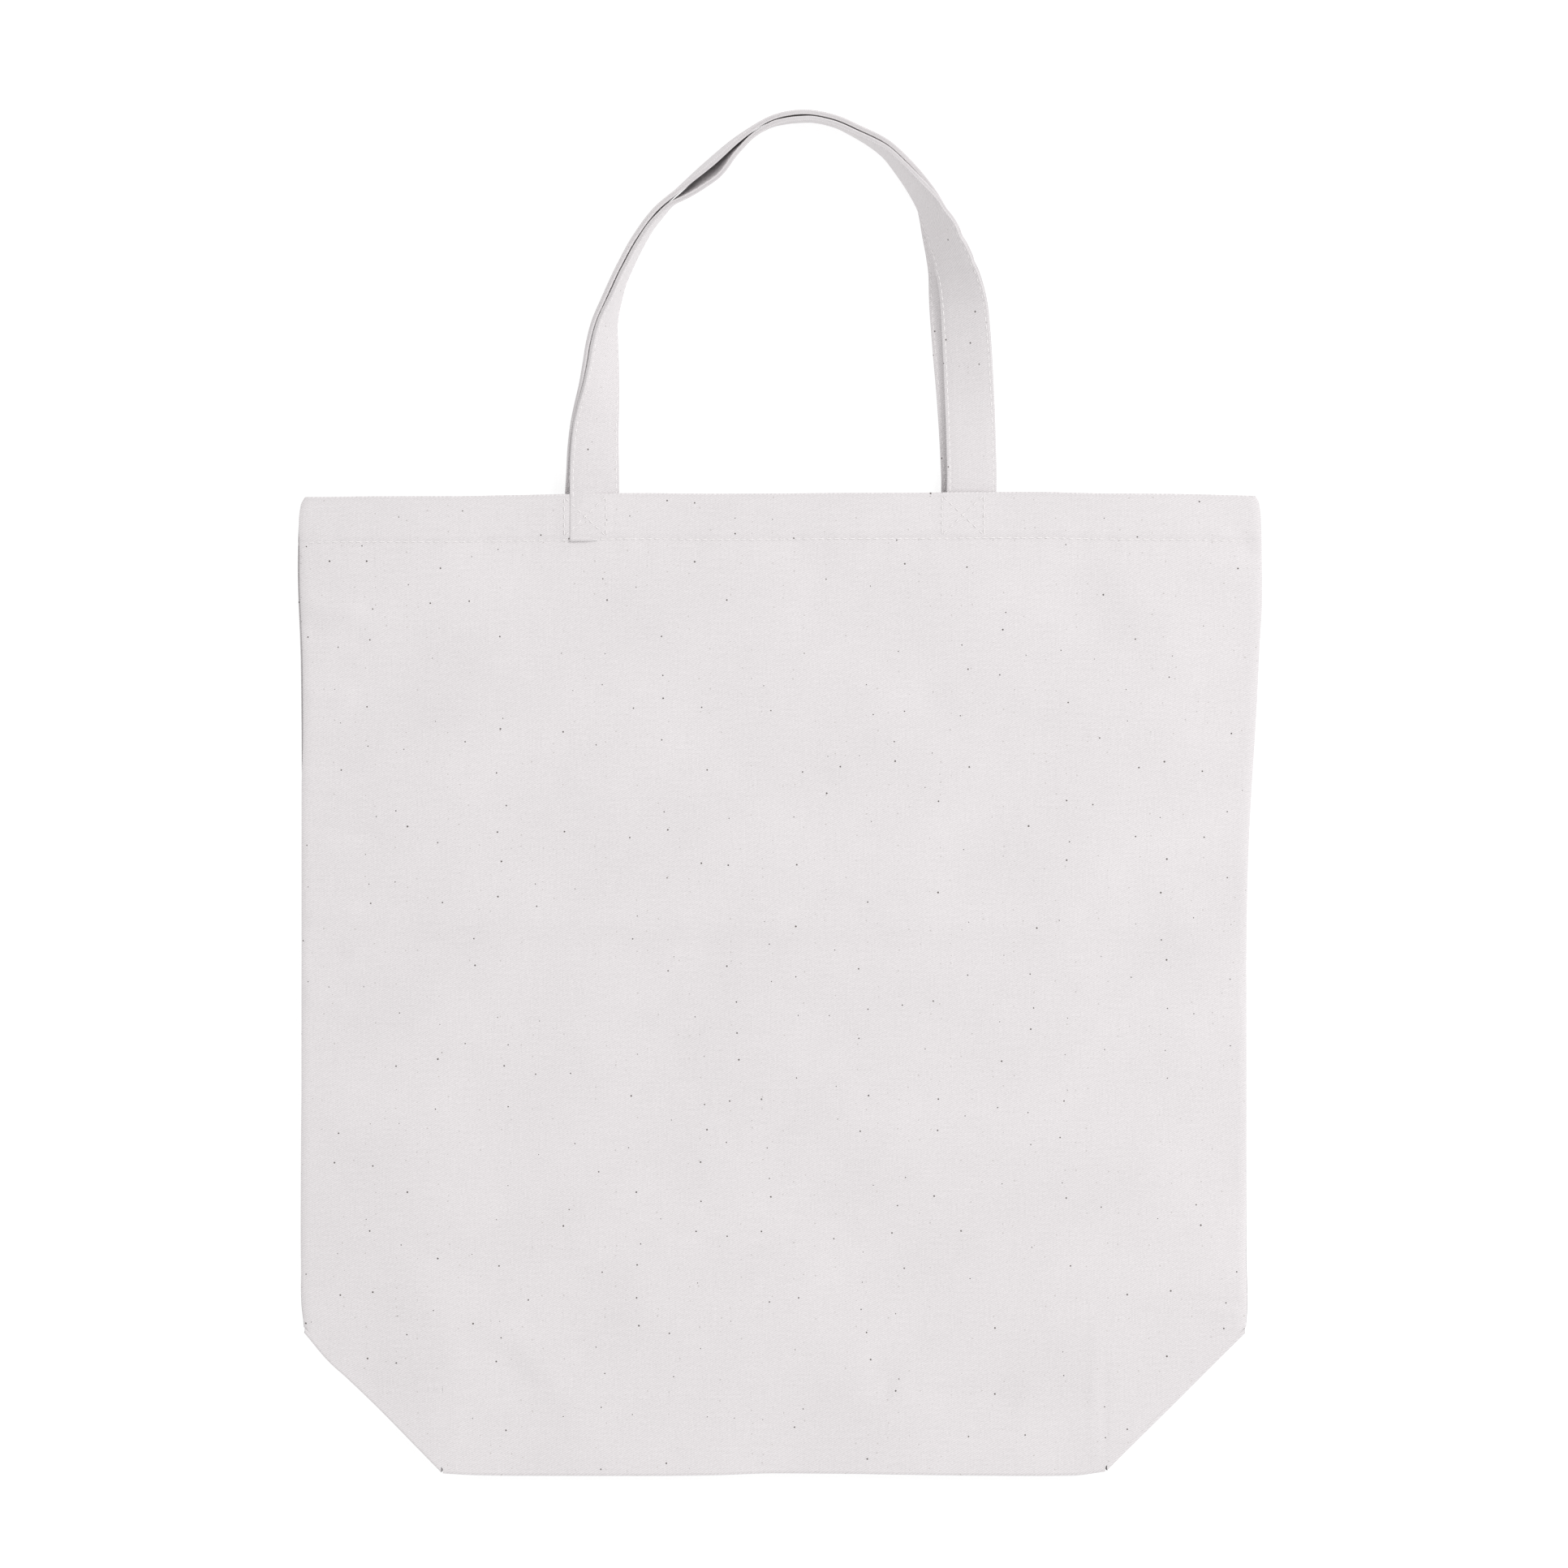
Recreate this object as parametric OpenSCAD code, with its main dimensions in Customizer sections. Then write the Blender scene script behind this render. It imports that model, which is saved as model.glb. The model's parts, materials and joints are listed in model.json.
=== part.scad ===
// Canvas tote bag with a boxed bottom, lying flat on its back panel.
// X runs across the bag, Y runs up to the mouth and handles, Z rises out of the back panel.
// The cloth is divided along its folds, so that the bottom and the sides can unfold.

/* [Body] */
// Width of the flat bag from side edge to side edge
bag_w = 476; // [380:1:580]
// Height of the flat bag from bottom edge to mouth
bag_h = 492; // [400:1:600]
// Depth of the bottom when the bag is opened out
gusset_d = 142; // [100:1:180]
// Thickness of the flat bag from back face to front face
bag_t = 12; // [11:0.5:16]
// Thickness of the body cloth
cloth_t = 0.8; // [0.5:0.05:1]

/* [Hem] */
// Depth of the cloth turned in at the mouth
hem_depth = 25; // [18:1:40]
// Distance of the hem stitching below the mouth
hem_stitch_drop = 23; // [14:1:36]
// Width of the seam allowance inside each side edge
seam_allowance = 8; // [5:1:12]

/* [Handles] */
// Width of the handle strap
strap_w = 25; // [18:1:32]
// Thickness of the handle strap
strap_t = 2.4; // [1.6:0.1:2.8]
// Distance between the two ends of one handle, centre to centre
strap_spacing = 190; // [150:1:230]
// Height of the handle arch above the mouth
handle_rise = 193.5; // [140:0.5:260]
// Length of each handle end sewn inside the hem
tab_len = 23; // [16:1:36]
// Gap between the two handles where they stand on edge
handle_slit = 1; // [0.8:0.1:3]

/* [Stitching] */
// Width of a row of thread
thread_w = 0.6; // [0.4:0.1:1]
// Depth that a row of thread sinks into the cloth
thread_depth = 0.25; // [0.15:0.05:0.3]
// Distance of the handle-end stitching from the edge of the strap
tab_stitch_inset = 2.05; // [1.5:0.05:4]

/* [Clearances] */
// Gap between a corner triangle and the side wall that it is folded against
corner_clear = 0.4; // [0.35:0.05:0.6]
// Gap between the front and back layers at the inner folds
pleat_gap = 0.6; // [0.5:0.1:1]
// Gap left at each side of the cut between two pieces that unfold into one plane
cut_clear = 0.2; // [0.15:0.05:0.3]
// Distance that the hem and seam layers inside a side wall stop short of its edge
lining_back = 0.8; // [0.7:0.1:2]
// Gap between a handle and the end that is sewn in, along the handle
handle_gap = 1.2; // [0.8:0.1:2]
// Height of a handle's pivot outside the face of its panel
pivot_out = 1; // [0.5:0.1:2]
// Distance of a handle's pivot above the mouth
pivot_up = 2; // [1.5:0.1:3]
// Gap between a handle standing on edge and the surface below it
floor_gap = 0.3; // [0.1:0.1:1]

/* [Hidden] */

canvas = [0.905, 0.89, 0.893];
strap = [0.885, 0.87, 0.872];
thread = [0.95, 0.945, 0.94];

// The origin is under the middle of the whole bag, handles included.
total_len = bag_h + handle_rise;
bottom_y = -total_len / 2;
mouth_y = bottom_y + bag_h;
corner_x = (bag_w - gusset_d) / 2;
half_side = gusset_d / 2;

// Folds. The side edge is as thin as its folded layers and their gaps allow, and the bottom's
// folds are set in from the faces by the distance that keeps both folds at one angle.
edge_gap = 3 * cloth_t + 2 * corner_clear + pleat_gap;
edge_drop = bag_t - cloth_t - edge_gap;
fold_inset = (half_side * bag_t - edge_drop * (half_side + cloth_t / 2)) / (2 * half_side - edge_drop);
flap_len = half_side - fold_inset + cloth_t / 2;
fold_angle = asin((bag_t / 2 - fold_inset) / flap_len);
corner_axis = (cloth_t + corner_clear) / 2;
corner_rise = bag_t / 2 - pleat_gap / 2 - cloth_t - 2 * corner_axis;
corner_fold = 180 - asin(corner_rise * sqrt(2) / half_side);

// Stitching places
hem_row_y = mouth_y - hem_stitch_drop;
tab_row_top = mouth_y - 2 * thread_w;
tab_row_bottom = hem_row_y + 1.5 * thread_w;
tab_row_x = strap_w / 2 - tab_stitch_inset;

// Handle arch. Each point is [share of the half spacing, share of the rise, twist in degrees];
// a twist of 0 lies flat and 90 stands on edge. The left leg turns on edge lower than the right.
strap_x = strap_spacing / 2;
arch = [
    [-1, 0, 0], [-0.985, 0.12, 10], [-0.955, 0.24, 36], [-0.93, 0.36, 56], [-0.895, 0.49, 77],
    [-0.8, 0.61, 87], [-0.67, 0.72, 90], [-0.43, 0.83, 90], [-0.17, 0.95, 90], [0.11, 1, 90],
    [0.4, 0.968, 87], [0.6, 0.9, 81], [0.76, 0.8, 73], [0.86, 0.7, 60], [0.925, 0.6, 42],
    [0.96, 0.48, 18], [0.98, 0.34, 3], [0.995, 0.18, 0], [1, 0, 0]
];
steps_per_span = 4;
flat_offset = bag_t / 2 - 2 * cloth_t - strap_t / 2;
edge_offset = strap_t / 2 + handle_slit / 2;
arch_rise = handle_rise - edge_offset - strap_t / 2;
flat_floor = bag_t / 2 - flat_offset - strap_t / 2;

// ---- Handle path ----

// Point at share f of the way from b to c on a smooth curve through a, b, c and d
function smooth(a, b, c, d, f) =
    0.5 * ((2 * b) + (c - a) * f + (2 * a - 5 * b + 4 * c - d) * f * f
        + (3 * b - a - 3 * c + d) * f * f * f);

function arch_at(i, f) =
    let (last = len(arch) - 1)
    smooth(arch[max(i - 1, 0)], arch[i], arch[min(i + 1, last)], arch[min(i + 2, last)], f);

arch_points = concat(
    [for (i = [0 : len(arch) - 2]) for (k = [0 : steps_per_span - 1]) arch_at(i, k / steps_per_span)],
    [arch[len(arch) - 1]]
);
arch_last = len(arch_points) - 1;

// The lowest part of a leg starts past the end that is sewn in.
function path_x(i) = arch_points[i][0] * strap_x;
function path_y(i) = mouth_y + max(handle_gap, arch_points[i][1] * arch_rise);
function path_twist(i) = min(90, max(0, arch_points[i][2]));
function path_offset(i) = edge_offset + (flat_offset - edge_offset) * cos(path_twist(i));

// Height at which the lower edge of the back handle just clears the surface below it
function path_z(i) =
    let (t = path_twist(i))
    (strap_w / 2) * sin(t) + (path_offset(i) + strap_t / 2) * cos(t)
        + floor_gap + (flat_floor - floor_gap) * cos(t);

function path_point(i) = [path_x(i), path_y(i), path_z(i)];
function unit(v) = v / norm(v);
function path_dir(i) =
    let (d = path_point(min(i + 1, arch_last)) - path_point(max(i - 1, 0)))
    unit([d[0], d[1], 0]);

// Direction across the thickness: up where the strap lies flat, into the arch where it is on edge
function across(i) =
    let (t = path_twist(i), d = path_dir(i))
    [d[1] * sin(t), -d[0] * sin(t), cos(t)];

function strap_ring(i, layer) =
    let (
        n = across(i),
        w = cross(path_dir(i), n),
        c = path_point(i) + layer * path_offset(i) * n
    )
    [for (k = [[-1, -1], [1, -1], [1, 1], [-1, 1]]) c + k[0] * strap_w / 2 * w + k[1] * strap_t / 2 * n];

function quad(a, b, c, d) = [[a, b, c], [a, c, d]];

// One handle: layer is 1 for the front handle and -1 for the back handle
module handle(layer) {
    points = [for (i = [0 : arch_last]) each strap_ring(i, layer)];
    sides = [
        for (i = [0 : arch_last - 1]) for (k = [0 : 3])
            each quad(4 * i + k, 4 * i + (k + 1) % 4, 4 * i + 4 + (k + 1) % 4, 4 * i + 4 + k)
    ];
    last = 4 * arch_last;
    ends = concat(quad(3, 2, 1, 0), quad(last, last + 1, last + 2, last + 3));
    polyhedron(points = points, faces = concat(sides, ends), convexity = 6);
}

// ---- Places ----

// Moves a piece drawn at the back to the front layer
module place_layer(front) {
    if (front) translate([0, 0, bag_t]) mirror([0, 0, 1]) children();
    else children();
}

// Moves a piece drawn at the right to the left side
module place_side(left) {
    if (left) mirror([1, 0, 0]) children();
    else children();
}

// Frame of the right half side wall at the back: X out along the wall, Z into the bag
module on_side(left, front) {
    place_layer(front) place_side(left)
        translate([corner_x, 0, cloth_t / 2]) rotate([0, -fold_angle, 0]) children();
}

// A row of thread from a to b, with its outer face at z = 0
module thread_row(a, b) {
    d = b - a;
    translate([a[0], a[1], 0]) rotate([0, 0, atan2(d[1], d[0])])
        translate([0, -thread_w / 2, 0]) cube([norm(d), thread_w, thread_depth]);
}

// ---- Panels ----

module hem_rows() {
    thread_row([-corner_x, hem_row_y], [corner_x, hem_row_y]);
}

// Two rows along the strap and a cross between them
module tab_rows() {
    for (side = [-1, 1]) translate([side * strap_x, 0, 0]) {
        for (row = [-1, 1])
            thread_row([row * tab_row_x, tab_row_bottom], [row * tab_row_x, tab_row_top]);
        for (row = [-1, 1])
            thread_row([row * tab_row_x, tab_row_bottom], [-row * tab_row_x, tab_row_top]);
    }
}

module panel() {
    difference() {
        translate([-corner_x, bottom_y, 0]) cube([2 * corner_x, bag_h, cloth_t]);
        hem_rows();
        tab_rows();
    }
}

module panel_hem() {
    half_w = corner_x - cloth_t;
    translate([-half_w, mouth_y - hem_depth, cloth_t]) cube([2 * half_w, hem_depth, cloth_t]);
}

// Sewn-in end of a handle, against the inside of the hem
module handle_end(side) {
    translate([side * strap_x - strap_w / 2, mouth_y - tab_len, 2 * cloth_t])
        cube([strap_w, tab_len, strap_t]);
}

// ---- Bottom ----

// Half of the bottom, folded into the bag from the bottom edge
module bottom_half() {
    half_w = corner_x - cloth_t;
    translate([0, bottom_y, fold_inset]) rotate([fold_angle, 0, 0])
        translate([-half_w, 0, -pleat_gap / 2 - cloth_t]) cube([2 * half_w, flap_len - cut_clear, cloth_t]);
}

// ---- Sides ----

side_in = cloth_t;
side_out = half_side - cut_clear;
lining_out = half_side - lining_back;
diagonal_cut = 2 * cut_clear * sqrt(2);

// Half side wall above the diagonal fold
module side_wall() {
    difference() {
        translate([0, 0, -cloth_t / 2]) linear_extrude(cloth_t)
            polygon([
                [side_in, bottom_y + side_in + diagonal_cut],
                [side_out, bottom_y + side_out + diagonal_cut],
                [side_out, mouth_y],
                [side_in, mouth_y]
            ]);
        side_rows();
    }
}

module side_rows() {
    translate([0, 0, -cloth_t / 2]) thread_row([side_in, hem_row_y], [side_out, hem_row_y]);
}

module side_hem() {
    translate([2 * cloth_t, mouth_y - hem_depth, cloth_t / 2])
        cube([lining_out - 2 * cloth_t, hem_depth, cloth_t]);
}

// Seam allowance of the side edge, from above the corner up to the hem
module side_seam() {
    seam_bottom = bottom_y + half_side + 2 * cut_clear;
    translate([lining_out - seam_allowance, seam_bottom, cloth_t / 2])
        cube([seam_allowance, mouth_y - hem_depth - seam_bottom, cloth_t]);
}

// Corner triangle of the side wall, folded up against its inside along the diagonal
module corner() {
    low = bottom_y + cut_clear + cloth_t / 2;
    translate([0, bottom_y, corner_axis]) rotate(a = -corner_fold, v = [1, 1, 0])
        translate([0, -bottom_y, -corner_axis - cloth_t / 2]) linear_extrude(cloth_t)
            polygon([
                [low - bottom_y + diagonal_cut, low],
                [side_out, low],
                [side_out, bottom_y + side_out - diagonal_cut]
            ]);
}

// ---- The pieces ----

color(canvas) panel();  // back_panel
color(canvas) panel_hem();  // back_hem
color(thread) hem_rows();  // back_hem_stitching
color(strap) handle_end(-1);  // back_handle_end_left
color(strap) handle_end(1);  // back_handle_end_right
color(thread) tab_rows();  // back_handle_end_stitching

place_layer(true) color(canvas) panel();  // front_panel
place_layer(true) color(canvas) panel_hem();  // front_hem
place_layer(true) color(thread) hem_rows();  // front_hem_stitching
place_layer(true) color(strap) handle_end(-1);  // front_handle_end_left
place_layer(true) color(strap) handle_end(1);  // front_handle_end_right
place_layer(true) color(thread) tab_rows();  // front_handle_end_stitching

color(canvas) bottom_half();  // bottom_rear
place_layer(true) color(canvas) bottom_half();  // bottom_front

on_side(true, false) color(canvas) side_wall();  // side_back_left
on_side(false, false) color(canvas) side_wall();  // side_back_right
on_side(true, true) color(canvas) side_wall();  // side_front_left
on_side(false, true) color(canvas) side_wall();  // side_front_right

on_side(true, false) color(canvas) side_hem();  // side_hem_back_left
on_side(false, false) color(canvas) side_hem();  // side_hem_back_right
on_side(true, true) color(canvas) side_hem();  // side_hem_front_left
on_side(false, true) color(canvas) side_hem();  // side_hem_front_right

on_side(true, false) color(thread) side_rows();  // side_hem_stitching_back_left
on_side(false, false) color(thread) side_rows();  // side_hem_stitching_back_right
on_side(true, true) color(thread) side_rows();  // side_hem_stitching_front_left
on_side(false, true) color(thread) side_rows();  // side_hem_stitching_front_right

on_side(true, false) color(canvas) side_seam();  // side_seam_left
on_side(false, false) color(canvas) side_seam();  // side_seam_right

on_side(true, false) color(canvas) corner();  // corner_back_left
on_side(false, false) color(canvas) corner();  // corner_back_right
on_side(true, true) color(canvas) corner();  // corner_front_left
on_side(false, true) color(canvas) corner();  // corner_front_right

color(strap) handle(1);  // front_handle
color(strap) handle(-1);  // back_handle
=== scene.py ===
"""Looks of a canvas tote bag that lies flat. Lengths are in metres, in the frame of the CAD model.

A point of the bag is worked out in the back layer's terms first: x across, y up the bag, and depth,
which grows from a layer's outer face into the bag. Then it is placed in the back or front layer.
"""
import json
import math

import bpy
import numpy as np
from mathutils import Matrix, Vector, noise


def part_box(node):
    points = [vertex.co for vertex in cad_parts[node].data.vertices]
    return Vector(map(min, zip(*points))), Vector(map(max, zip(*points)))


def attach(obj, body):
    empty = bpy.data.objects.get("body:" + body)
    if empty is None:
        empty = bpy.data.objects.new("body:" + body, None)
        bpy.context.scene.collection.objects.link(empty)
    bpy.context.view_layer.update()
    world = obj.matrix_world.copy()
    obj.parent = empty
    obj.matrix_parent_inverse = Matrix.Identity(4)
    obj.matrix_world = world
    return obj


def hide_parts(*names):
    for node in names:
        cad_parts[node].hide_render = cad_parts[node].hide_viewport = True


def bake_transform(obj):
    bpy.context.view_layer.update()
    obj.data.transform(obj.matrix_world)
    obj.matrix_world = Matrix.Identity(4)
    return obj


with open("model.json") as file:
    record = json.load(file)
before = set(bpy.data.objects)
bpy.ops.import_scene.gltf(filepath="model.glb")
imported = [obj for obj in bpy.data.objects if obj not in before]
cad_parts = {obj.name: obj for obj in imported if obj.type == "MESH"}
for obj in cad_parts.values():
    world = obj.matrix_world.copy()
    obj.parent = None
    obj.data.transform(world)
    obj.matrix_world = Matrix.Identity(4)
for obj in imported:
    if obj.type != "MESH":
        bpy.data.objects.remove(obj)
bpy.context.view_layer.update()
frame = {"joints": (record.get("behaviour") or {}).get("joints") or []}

MM = 0.001
JOINTS = {j["name"]: j for j in frame["joints"]}

# ---- Sizes, from the CAD model ----

PANEL_LOW, PANEL_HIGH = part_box("front_panel")
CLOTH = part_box("back_panel")[1][2]
THICK = PANEL_HIGH[2]
CORNER_X = PANEL_HIGH[0]
BOTTOM_Y = PANEL_LOW[1]
MOUTH_Y = PANEL_HIGH[1]
HEIGHT = MOUTH_Y - BOTTOM_Y
HEM = MOUTH_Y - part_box("front_hem")[0][1]
ROW_LOW, ROW_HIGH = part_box("front_hem_stitching")
HEM_ROW = MOUTH_Y - (ROW_LOW[1] + ROW_HIGH[1]) / 2

CORNER_AXIS = JOINTS["corner_back_right_fold"]["axis"]
TILT = math.atan2(CORNER_AXIS[2], CORNER_AXIS[0])
CORNER_FOLD = math.radians(JOINTS["corner_back_right_fold"]["range_deg"][1])
CORNER_RADIUS = JOINTS["corner_back_right_fold"]["pos_m"][2] - CLOTH / 2
HALF_SIDE = (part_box("side_back_right")[1][0] - CORNER_X) / math.cos(TILT)
SEAM_GAP = THICK - CLOTH - 2 * HALF_SIDE * math.sin(TILT)

FLAP_INSET = JOINTS["bottom_unfold"]["pos_m"][2]
FLAP_LEN = (JOINTS["bottom_centre_fold"]["pos_m"][1] - BOTTOM_Y) / math.cos(TILT)
FLAP_OFFSET = 0.3 * MM + CLOTH / 2

END_LOW, END_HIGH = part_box("front_handle_end_right")
STRAP_W = END_HIGH[0] - END_LOW[0]
STRAP_T = END_HIGH[2] - END_LOW[2]
STRAP_X = (END_HIGH[0] + END_LOW[0]) / 2
END_LEN = MOUTH_Y - END_LOW[1]

# ---- Small helpers ----


def smooth_step(t):
    t = np.clip(t, 0.0, 1.0)
    return t * t * (3 - 2 * t)


def through(x, points):
    """Value at x of a smooth curve through (position, value) points that doesn't overshoot them."""
    px = np.array([p[0] for p in points], float)
    py = np.array([p[1] for p in points], float)
    rise = np.diff(py) / np.diff(px)
    same_way = rise[:-1] * rise[1:] > 0
    total = np.where(same_way, rise[:-1] + rise[1:], 1)
    inner = np.where(same_way, 2 * rise[:-1] * rise[1:] / total, 0)
    slope = np.concatenate([rise[:1], inner, rise[-1:]])
    x = np.clip(x, px[0], px[-1])
    i = np.clip(np.searchsorted(px, x) - 1, 0, len(px) - 2)
    h = px[i + 1] - px[i]
    t = (x - px[i]) / h
    a, b = (1 + 2 * t) * (1 - t) ** 2, t * t * (3 - 2 * t)
    c, d = t * (1 - t) ** 2, t * t * (t - 1)
    return a * py[i] + b * py[i + 1] + h * (c * slope[i] + d * slope[i + 1])


def soft_noise(x, y, size, seed):
    """Smooth noise between about -1 and 1, with waves of that size in metres."""
    flat_x, flat_y = np.ravel(x) / size, np.ravel(y) / size
    values = [noise.noise(Vector((a, b, seed * 7.3))) for a, b in zip(flat_x, flat_y)]
    return np.array(values).reshape(np.shape(x)) * 1.6


def along_line(x, y, start, end, width):
    """1 on the line from start to end, falling off to the sides and at its ends."""
    ax, ay = start[0] * MM, start[1] * MM
    dx, dy = end[0] * MM - ax, end[1] * MM - ay
    length = math.hypot(dx, dy)
    t = ((x - ax) * dx + (y - ay) * dy) / length**2
    side = ((x - ax) * dy - (y - ay) * dx) / length
    past = np.maximum(np.maximum(-t, t - 1), 0) * length
    ends = smooth_step(np.minimum(t, 1 - t) * 3 + 0.4)
    return np.exp(-((side / (width * MM)) ** 2) - (past / (2 * width * MM)) ** 2) * ends


def unit(vectors):
    """Rows of vectors, scaled to length 1."""
    return vectors / np.linalg.norm(vectors, axis=1, keepdims=True)


def add_object(name, data):
    """A new object in the scene that holds the given mesh, lamp or camera."""
    obj = bpy.data.objects.new(name, data)
    bpy.context.collection.objects.link(obj)
    return obj


# ---- The outline of the flat bag ----

# How far the side edges stand outside the nominal edge, as (height, distance) in millimetres
RIGHT_EDGE = [(0, -1), (23, -1.5), (48, -1), (72, 0), (86, 0.8), (112, 0.2), (262, 0.2), (285, 0.4),
              (317, 1.3), (341, 2.5), (366, 4.1), (390, 5.5), (415, 6.7), (440, 8), (464, 7.9),
              (480, 7.5), (488, 6.6), (492, 4.7)]
LEFT_EDGE = [(0, -2), (23, -2), (48, 0.5), (55, 1.8), (73, -0.8), (84, 0.3), (92, 0.6), (120, 0.6),
             (170, 0.4), (194, 0.2), (341, 0.2), (366, 0.3), (407, 0.7), (456, 2.3), (480, 1.6),
             (488, 0.5), (492, -1.5)]
# How far the front layer's edge stays inside the back layer's, as (height, distance) in millimetres
RIGHT_TUCK = [(0, 0), (60, 0), (85, 0.4), (160, 0.2), (245, 0.2), (275, 0), (492, 0)]
LEFT_TUCK = [(0, 0), (60, 0.4), (90, 0.3), (120, 0), (345, 0), (372, 0.9), (460, 1.1), (482, 0),
             (492, 0)]
# How far the bottom edge and the mouth edge stand up from their nominal lines, as (x, distance)
# in millimetres
BOTTOM_EDGE = [(-167, 0.3), (-150, -0.6), (-130, -0.9), (-64, -1), (-32, -0.7), (0, 0.3), (33, 0.1),
               (66, -0.4), (98, -0.8), (131, -1), (150, -0.8), (167, 1.2)]
MOUTH_EDGE = [(-240, -0.3), (-195, 0), (-162, 0), (-130, 0.5), (-65, 1.5), (-32, 1.2), (0, 1.3),
              (33, 1.6), (70, 1.7), (131, 2.1), (164, 1.4), (197, 1.2), (240, 0.2)]

# The side edge's offset grows from the corner line outwards, by this power of the distance
EDGE_POWER = 1.3
# Height at which the bottom edge's offset has died out, height at which the mouth edge's starts,
# and how far above that it is complete, in millimetres
LOW_END, HIGH_START, HIGH_RISE = 45, 400, 80


def settle(points, front):
    """Moves rest points within the bag's plane to the outline that the soft bag has."""
    p = np.array(points, float)
    x, height = p[..., 0], (p[..., 1] - BOTTOM_Y) / MM
    share = np.clip((np.abs(x) - CORNER_X) / HALF_SIDE, 0, 1.2) ** EDGE_POWER
    edge = np.where(x > 0, through(height, RIGHT_EDGE), through(height, LEFT_EDGE)) * MM
    if front:
        edge = edge - np.where(x > 0, through(height, RIGHT_TUCK), through(height, LEFT_TUCK)) * MM
    low = through(x / MM, BOTTOM_EDGE) * MM * (1 - smooth_step(height / LOW_END))
    high = through(x / MM, MOUTH_EDGE) * MM * smooth_step((height - HIGH_START) / HIGH_RISE)
    high = np.where(height > HEIGHT / MM + 1, 0, high)
    p[..., 0] = x + np.sign(x) * edge * share
    p[..., 1] += low + high
    return p


# ---- The relief of the outer faces ----

# Creases and dents of the front, as (start, end, width, height), in millimetres from the middle
# of the bottom edge
FRONT_CREASES = [
    ((161, 2), (161, 74), 1.8, 0.5),
    ((166, 6), (166, 60), 3.0, -0.3),
    ((-160, 4), (-160, 60), 2.6, 0.2),
    ((-214, 44), (16, 42), 1.3, -0.4),
    ((-205, 41.5), (10, 39.5), 1.6, 0.32),
    ((70, 42), (116, 40), 1.4, -0.36),
    ((-150, 25.5), (42, 26), 1.2, -0.26),
    ((-236, 279), (230, 274), 7.0, 0.55),
    ((-236, 266), (120, 262), 8.0, -0.4),
    ((205, 87), (236, 87), 2.2, -0.5),
    ((214, 84), (236, 79), 2.4, 0.45),
    ((48, 50), (60, 44), 9.0, -0.8),
    ((108, 42), (122, 36), 9.0, -0.6),
    ((-187, 100), (-140, 62), 12.0, 0.9),
    ((-165, 82), (-118, 40), 9.0, -0.8),
    ((-140, 84), (-96, 20), 9.0, 0.6),
    ((222, 482), (236, 458), 5.0, -0.9),
    ((-236, 436), (-206, 433), 5.0, 0.8),
    ((-236, 424), (-204, 420), 5.0, -0.6),
    ((-236, 391), (-212, 392), 4.5, 0.7),
    ((-236, 348), (-214, 345), 4.5, 0.6),
    ((-236, 325), (-198, 322), 4.0, -0.7),
    ((-236, 281), (-208, 284), 4.5, 0.8),
    ((-236, 258), (-214, 262), 4.0, -0.6),
    ((-236, 240), (-214, 236), 5.0, 0.6),
    ((160, 470), (205, 400), 14.0, 0.7),
    ((190, 300), (226, 250), 12.0, 0.6),
    ((-10, 470), (16, 440), 10.0, 0.5),
    ((-60, 200), (60, 240), 22.0, 0.5),
    ((40, 380), (150, 330), 24.0, 0.6),
    ((-180, 180), (-90, 130), 20.0, 0.6),
]
BACK_CREASES = [
    ((-220, 300), (210, 290), 8.0, -0.5),
    ((-150, 60), (-60, 110), 12.0, -0.5),
    ((60, 200), (160, 140), 14.0, -0.5),
    ((-161, 4), (-161, 70), 2.6, -0.4),
    ((161, 4), (161, 70), 2.6, -0.4),
]


def hem_relief(x, below):
    """The doubled cloth above the hem stitching, the pull of the stitches, and the sewn-in straps."""
    b = below / MM
    row = HEM_ROW / MM
    step = 0.35 * (1 - smooth_step((b - row + 2.5) / 4.5))
    pull = -0.32 * np.exp(-(((b - row) / 1.6) ** 2))
    dip = -0.35 * np.exp(-(((b - row - 5) / 4.5) ** 2)) * (0.6 + 0.4 * np.tanh((x / MM - 10) / 20))
    pucker = 0.13 * np.sin(x / MM * 0.43 + 3 * soft_noise(x, below, 0.05, 4))
    pucker = pucker * np.exp(-(((b - row) / 7) ** 2))
    beside = np.abs(np.abs(x) - STRAP_X) / MM
    strap = 0.28 * smooth_step((STRAP_W / 2 / MM + 1.2 - beside) / 2.4) * smooth_step((row - b + 1) / 3)
    return (step + pull + dip + pucker + strap) * MM


def relief(x, y, front):
    """How far the outer face stands out at a place, in metres."""
    up = y - BOTTOM_Y
    below = MOUTH_Y - y
    creases = FRONT_CREASES if front else BACK_CREASES
    r = sum(h * MM * along_line(x, up, a, b, w) for a, b, w, h in creases)
    if front:
        r = r + 0.75 * MM * soft_noise(x, up, 0.13, 1) + 0.28 * MM * soft_noise(x, up, 0.045, 2)
        r = r + 0.06 * MM * soft_noise(x, up, 0.014, 3)
        r = r + 1.2 * MM * (1 - (x / 0.24) ** 2) * np.clip(np.sin(math.pi * up / HEIGHT), 0, 1)
    else:
        r = r - 0.3 * MM * (1 + soft_noise(x, up, 0.1, 5))
    calm_hem = 0.35 + 0.65 * smooth_step((below - 0.006) / 0.03)
    r = r * calm_hem + hem_relief(x, below) * (1.0 if front else 0.4)
    # the folds at the bottom and along the corners stay crisp
    r = r * smooth_step((up + 0.004) / 0.024)
    diagonal = up - (np.abs(x) - CORNER_X)
    r = r * np.where(np.abs(x) > CORNER_X, smooth_step((diagonal - 0.002) / 0.022), 1)
    r = np.maximum(r, -0.35 * MM - 0.02 * np.maximum(up, 0))
    if not front:
        r = np.minimum(r, 0)
    return r


# ---- Layers ----


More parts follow.
